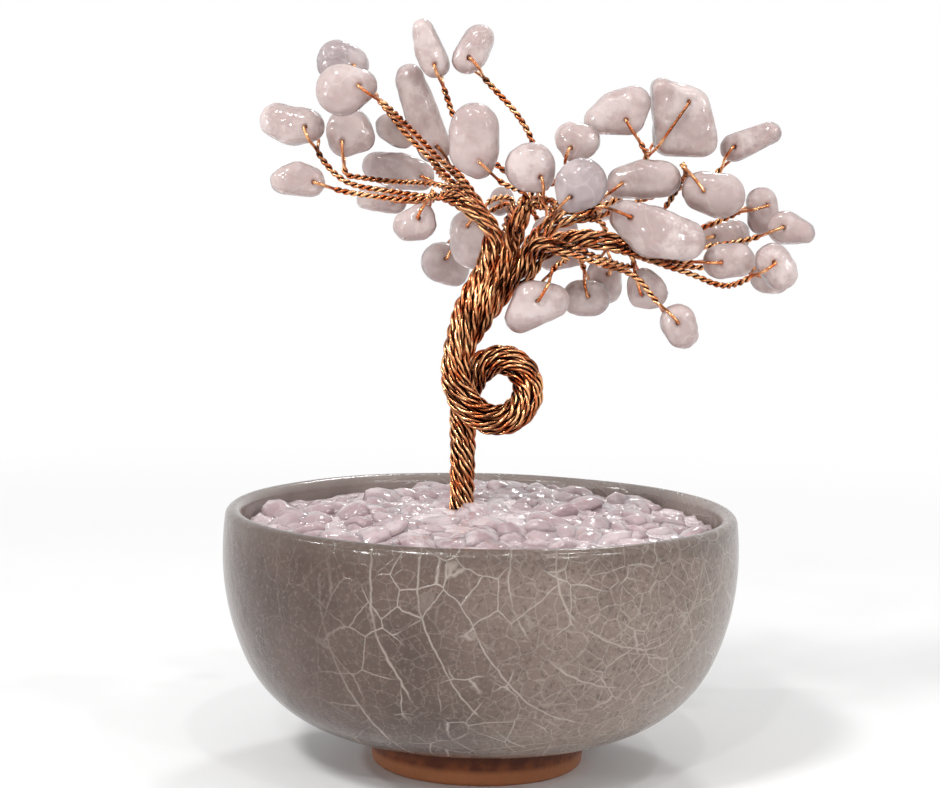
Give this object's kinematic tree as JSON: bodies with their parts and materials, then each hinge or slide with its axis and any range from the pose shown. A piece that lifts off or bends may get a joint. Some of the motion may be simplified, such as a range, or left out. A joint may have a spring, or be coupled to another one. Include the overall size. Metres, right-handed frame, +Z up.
{
  "type": "gemstone tree ornament",
  "caption": "Small table ornament: a twisted-wire tree with tumbled stone chips for leaves, set in a shallow glazed bowl of stone gravel.",
  "frame": {"origin": "centre of the bowl's foot ring, on the plane that it stands on", "axes": "+Z up, +Y away from the viewer of the picture, +X to the picture's right"},
  "size_m": [0.0802, 0.071, 0.102],
  "materials": {
    "crackle_glaze": "gloss",
    "plaster": "matte",
    "clear_resin": "gloss",
    "rose_quartz_gravel": "gloss",
    "copper_wire": "satin",
    "rose_quartz": "gloss",
    "clear_quartz": "gloss",
    "smoky_quartz": "gloss"
  },
  "bodies": {
    "stand": {"bowl": "crackle_glaze", "plaster_core": "plaster", "resin_bed": "clear_resin", "gravel": "rose_quartz_gravel", "trunk": "copper_wire", "left_high_bough": "copper_wire", "left_high_twigs": "copper_wire", "left_low_bough": "copper_wire", "left_low_twigs": "copper_wire", "top_bough": "copper_wire", "top_twigs": "copper_wire", "front_bough": "copper_wire", "front_twigs": "copper_wire", "back_bough": "copper_wire", "back_twigs": "copper_wire", "right_high_bough": "copper_wire", "right_high_twigs": "copper_wire", "right_far_bough": "copper_wire", "right_far_twigs": "copper_wire", "right_low_bough": "copper_wire", "right_low_twigs": "copper_wire"},
    "left_high_chip_1": {"left_high_chip_1": "clear_quartz"},
    "left_high_chip_2": {"left_high_chip_2": "rose_quartz"},
    "left_high_chip_3": {"left_high_chip_3": "rose_quartz"},
    "left_high_chip_4": {"left_high_chip_4": "rose_quartz"},
    "left_high_chip_5": {"left_high_chip_5": "smoky_quartz"},
    "left_low_chip_1": {"left_low_chip_1": "rose_quartz"},
    "left_low_chip_2": {"left_low_chip_2": "rose_quartz"},
    "left_low_chip_3": {"left_low_chip_3": "rose_quartz"},
    "left_low_chip_4": {"left_low_chip_4": "rose_quartz"},
    "left_low_chip_5": {"left_low_chip_5": "rose_quartz"},
    "top_chip_1": {"top_chip_1": "rose_quartz"},
    "top_chip_2": {"top_chip_2": "rose_quartz"},
    "top_chip_3": {"top_chip_3": "rose_quartz"},
    "front_chip_1": {"front_chip_1": "rose_quartz"},
    "front_chip_2": {"front_chip_2": "rose_quartz"},
    "front_chip_3": {"front_chip_3": "clear_quartz"},
    "front_chip_4": {"front_chip_4": "rose_quartz"},
    "back_chip_1": {"back_chip_1": "smoky_quartz"},
    "back_chip_2": {"back_chip_2": "smoky_quartz"},
    "back_chip_3": {"back_chip_3": "rose_quartz"},
    "back_chip_4": {"back_chip_4": "rose_quartz"},
    "back_chip_5": {"back_chip_5": "rose_quartz"},
    "back_chip_6": {"back_chip_6": "rose_quartz"},
    "right_high_chip_1": {"right_high_chip_1": "rose_quartz"},
    "right_high_chip_2": {"right_high_chip_2": "rose_quartz"},
    "right_high_chip_3": {"right_high_chip_3": "rose_quartz"},
    "right_high_chip_4": {"right_high_chip_4": "rose_quartz"},
    "right_high_chip_5": {"right_high_chip_5": "rose_quartz"},
    "right_far_chip_1": {"right_far_chip_1": "rose_quartz"},
    "right_far_chip_2": {"right_far_chip_2": "rose_quartz"},
    "right_far_chip_3": {"right_far_chip_3": "rose_quartz"},
    "right_far_chip_4": {"right_far_chip_4": "rose_quartz"},
    "right_far_chip_5": {"right_far_chip_5": "rose_quartz"},
    "right_far_chip_6": {"right_far_chip_6": "rose_quartz"},
    "right_far_chip_7": {"right_far_chip_7": "rose_quartz"},
    "right_low_chip_1": {"right_low_chip_1": "rose_quartz"},
    "right_low_chip_2": {"right_low_chip_2": "rose_quartz"},
    "right_low_chip_3": {"right_low_chip_3": "rose_quartz"},
    "right_low_chip_4": {"right_low_chip_4": "rose_quartz"}
  },
  "joints": [
    {"name": "left_high_chip_1_turn", "type": "hinge", "parent": "stand", "child": "left_high_chip_1", "pos_m": [-0.01875, 0.0004, 0.09544], "axis": [0.1392, -0.9903, 0], "range_deg": [-12, 12]},
    {"name": "left_high_chip_2_turn", "type": "hinge", "parent": "stand", "child": "left_high_chip_2", "pos_m": [-0.0171, -0.0072, 0.09252], "axis": [-0.1045, -0.9945, 0], "range_deg": [-12, 12]},
    {"name": "left_high_chip_3_turn", "type": "hinge", "parent": "stand", "child": "left_high_chip_3", "pos_m": [-0.00739, 0.005, 0.0848], "axis": [0.1736, -0.9848, 0], "range_deg": [-12, 12]},
    {"name": "left_high_chip_4_turn", "type": "hinge", "parent": "stand", "child": "left_high_chip_4", "pos_m": [-0.01203, 0.011, 0.08644], "axis": [0.342, -0.9397, 0], "range_deg": [-6, 6]},
    {"name": "left_high_chip_5_turn", "type": "hinge", "parent": "stand", "child": "left_high_chip_5", "pos_m": [-0.00957, 0.012, 0.08074], "axis": [0.1045, -0.9945, 0], "range_deg": [-6, 12]},
    {"name": "left_low_chip_1_turn", "type": "hinge", "parent": "stand", "child": "left_low_chip_1", "pos_m": [-0.02435, -0.0012, 0.0871], "axis": [-0.2079, -0.9781, 0], "range_deg": [-12, 12]},
    {"name": "left_low_chip_2_turn", "type": "hinge", "parent": "stand", "child": "left_low_chip_2", "pos_m": [-0.02002, 0.0036, 0.08536], "axis": [0, -1, 0], "range_deg": [-12, 12]},
    {"name": "left_low_chip_3_turn", "type": "hinge", "parent": "stand", "child": "left_low_chip_3", "pos_m": [-0.02371, -0.0032, 0.07973], "axis": [0.1736, -0.9848, 0], "range_deg": [-12, 12]},
    {"name": "left_low_chip_4_turn", "type": "hinge", "parent": "stand", "child": "left_low_chip_4", "pos_m": [-0.01283, 0.002, 0.07731], "axis": [0, -1, 0], "range_deg": [-12, 12]},
    {"name": "left_low_chip_5_turn", "type": "hinge", "parent": "stand", "child": "left_low_chip_5", "pos_m": [-0.0089, -0.006, 0.07525], "axis": [-0.1736, -0.9848, 0], "range_deg": [-12, 12]},
    {"name": "top_chip_1_turn", "type": "hinge", "parent": "stand", "child": "top_chip_1", "pos_m": [-0.00738, 0.0008, 0.09582], "axis": [-0.1045, -0.9945, 0], "range_deg": [-12, 12]},
    {"name": "top_chip_2_turn", "type": "hinge", "parent": "stand", "child": "top_chip_2", "pos_m": [-0.00318, -0.0028, 0.09653], "axis": [0.1736, -0.9848, 0], "range_deg": [-12, 12]},
    {"name": "top_chip_3_turn", "type": "hinge", "parent": "stand", "child": "top_chip_3", "pos_m": [0.01147, -0.002, 0.08497], "axis": [-0.2588, -0.9659, 0], "range_deg": [-12, 12]},
    {"name": "front_chip_1_turn", "type": "hinge", "parent": "stand", "child": "front_chip_1", "pos_m": [-0.00131, -0.0068, 0.08284], "axis": [0, -1, 0], "range_deg": [-12, 12]},
    {"name": "front_chip_2_turn", "type": "hinge", "parent": "stand", "child": "front_chip_2", "pos_m": [0.00643, -0.0116, 0.08103], "axis": [0.1392, -0.9903, 0], "range_deg": [-12, 12]},
    {"name": "front_chip_3_turn", "type": "hinge", "parent": "stand", "child": "front_chip_3", "pos_m": [0.01091, -0.0152, 0.07856], "axis": [-0.2079, -0.9781, 0], "range_deg": [-12, 12]},
    {"name": "front_chip_4_turn", "type": "hinge", "parent": "stand", "child": "front_chip_4", "pos_m": [0.01864, -0.0072, 0.07595], "axis": [0.1045, -0.9945, 0], "range_deg": [-12, 12]},
    {"name": "back_chip_1_turn", "type": "hinge", "parent": "stand", "child": "back_chip_1", "pos_m": [-0.00236, 0.0084, 0.07393], "axis": [-0.1736, -0.9848, 0], "range_deg": [-12, 12]},
    {"name": "back_chip_2_turn", "type": "hinge", "parent": "stand", "child": "back_chip_2", "pos_m": [-0.00613, 0.014, 0.06915], "axis": [0.2079, -0.9781, 0], "range_deg": [-12, 12]},
    {"name": "back_chip_3_turn", "type": "hinge", "parent": "stand", "child": "back_chip_3", "pos_m": [0.002, 0.016, 0.07738], "axis": [0, -1, 0], "range_deg": [-12, 12]},
    {"name": "back_chip_4_turn", "type": "hinge", "parent": "stand", "child": "back_chip_4", "pos_m": [0.00866, 0.0112, 0.07351], "axis": [0, -1, 0], "range_deg": [-12, 12]},
    {"name": "back_chip_5_turn", "type": "hinge", "parent": "stand", "child": "back_chip_5", "pos_m": [0.0101, 0.0172, 0.06991], "axis": [-0.342, -0.9397, 0], "range_deg": [-12, 12]},
    {"name": "back_chip_6_turn", "type": "hinge", "parent": "stand", "child": "back_chip_6", "pos_m": [0.01479, 0.0164, 0.07663], "axis": [0.4226, -0.9063, 0], "range_deg": [-12, 12]},
    {"name": "right_high_chip_1_turn", "type": "hinge", "parent": "stand", "child": "right_high_chip_1", "pos_m": [0.01879, 0.002, 0.08894], "axis": [-0.1392, -0.9903, 0], "range_deg": [-12, 12]},
    {"name": "right_high_chip_2_turn", "type": "hinge", "parent": "stand", "child": "right_high_chip_2", "pos_m": [0.0274, 0.0088, 0.09174], "axis": [0.1045, -0.9945, 0], "range_deg": [-12, 12]},
    {"name": "right_high_chip_3_turn", "type": "hinge", "parent": "stand", "child": "right_high_chip_3", "pos_m": [0.03508, 0.012, 0.08568], "axis": [-0.342, -0.9397, 0], "range_deg": [-12, 12]},
    {"name": "right_high_chip_4_turn", "type": "hinge", "parent": "stand", "child": "right_high_chip_4", "pos_m": [0.01809, 0.0004, 0.08038], "axis": [0, -1, 0], "range_deg": [-12, 12]},
    {"name": "right_high_chip_5_turn", "type": "hinge", "parent": "stand", "child": "right_high_chip_5", "pos_m": [0.01654, 0.008, 0.0676], "axis": [0.2419, -0.9703, 0], "range_deg": [-12, 12]},
    {"name": "right_far_chip_1_turn", "type": "hinge", "parent": "stand", "child": "right_far_chip_1", "pos_m": [0.02898, -0.0012, 0.07953], "axis": [0, -1, 0], "range_deg": [-12, 12]},
    {"name": "right_far_chip_2_turn", "type": "hinge", "parent": "stand", "child": "right_far_chip_2", "pos_m": [0.03808, 0.0048, 0.07771], "axis": [0.2079, -0.9781, 0], "range_deg": [-12, 12]},
    {"name": "right_far_chip_3_turn", "type": "hinge", "parent": "stand", "child": "right_far_chip_3", "pos_m": [0.04049, -0.0004, 0.07487], "axis": [-0.2419, -0.9703, 0], "range_deg": [-12, 12]},
    {"name": "right_far_chip_4_turn", "type": "hinge", "parent": "stand", "child": "right_far_chip_4", "pos_m": [0.03765, -0.0076, 0.07036], "axis": [0.1736, -0.9848, 0], "range_deg": [-12, 12]},
    {"name": "right_far_chip_5_turn", "type": "hinge", "parent": "stand", "child": "right_far_chip_5", "pos_m": [0.03867, 0.0016, 0.06793], "axis": [-0.1392, -0.9903, 0], "range_deg": [-12, 12]},
    {"name": "right_far_chip_6_turn", "type": "hinge", "parent": "stand", "child": "right_far_chip_6", "pos_m": [0.03154, -0.0028, 0.07004], "axis": [0, -1, 0], "range_deg": [-12, 12]},
    {"name": "right_far_chip_7_turn", "type": "hinge", "parent": "stand", "child": "right_far_chip_7", "pos_m": [0.03241, 0.0112, 0.07312], "axis": [-0.2756, -0.9613, 0], "range_deg": [-12, 12]},
    {"name": "right_low_chip_1_turn", "type": "hinge", "parent": "stand", "child": "right_low_chip_1", "pos_m": [0.00661, -0.0044, 0.0645], "axis": [0.1392, -0.9903, 0], "range_deg": [-12, 12]},
    {"name": "right_low_chip_2_turn", "type": "hinge", "parent": "stand", "child": "right_low_chip_2", "pos_m": [0.01434, 0.002, 0.06482], "axis": [-0.1736, -0.9848, 0], "range_deg": [-12, 12]},
    {"name": "right_low_chip_3_turn", "type": "hinge", "parent": "stand", "child": "right_low_chip_3", "pos_m": [0.02131, -0.002, 0.06546], "axis": [-0.1736, -0.9848, 0], "range_deg": [-12, 12]},
    {"name": "right_low_chip_4_turn", "type": "hinge", "parent": "stand", "child": "right_low_chip_4", "pos_m": [0.02529, -0.0072, 0.06209], "axis": [0.1045, -0.9945, 0], "range_deg": [-12, 12]}
  ]
}
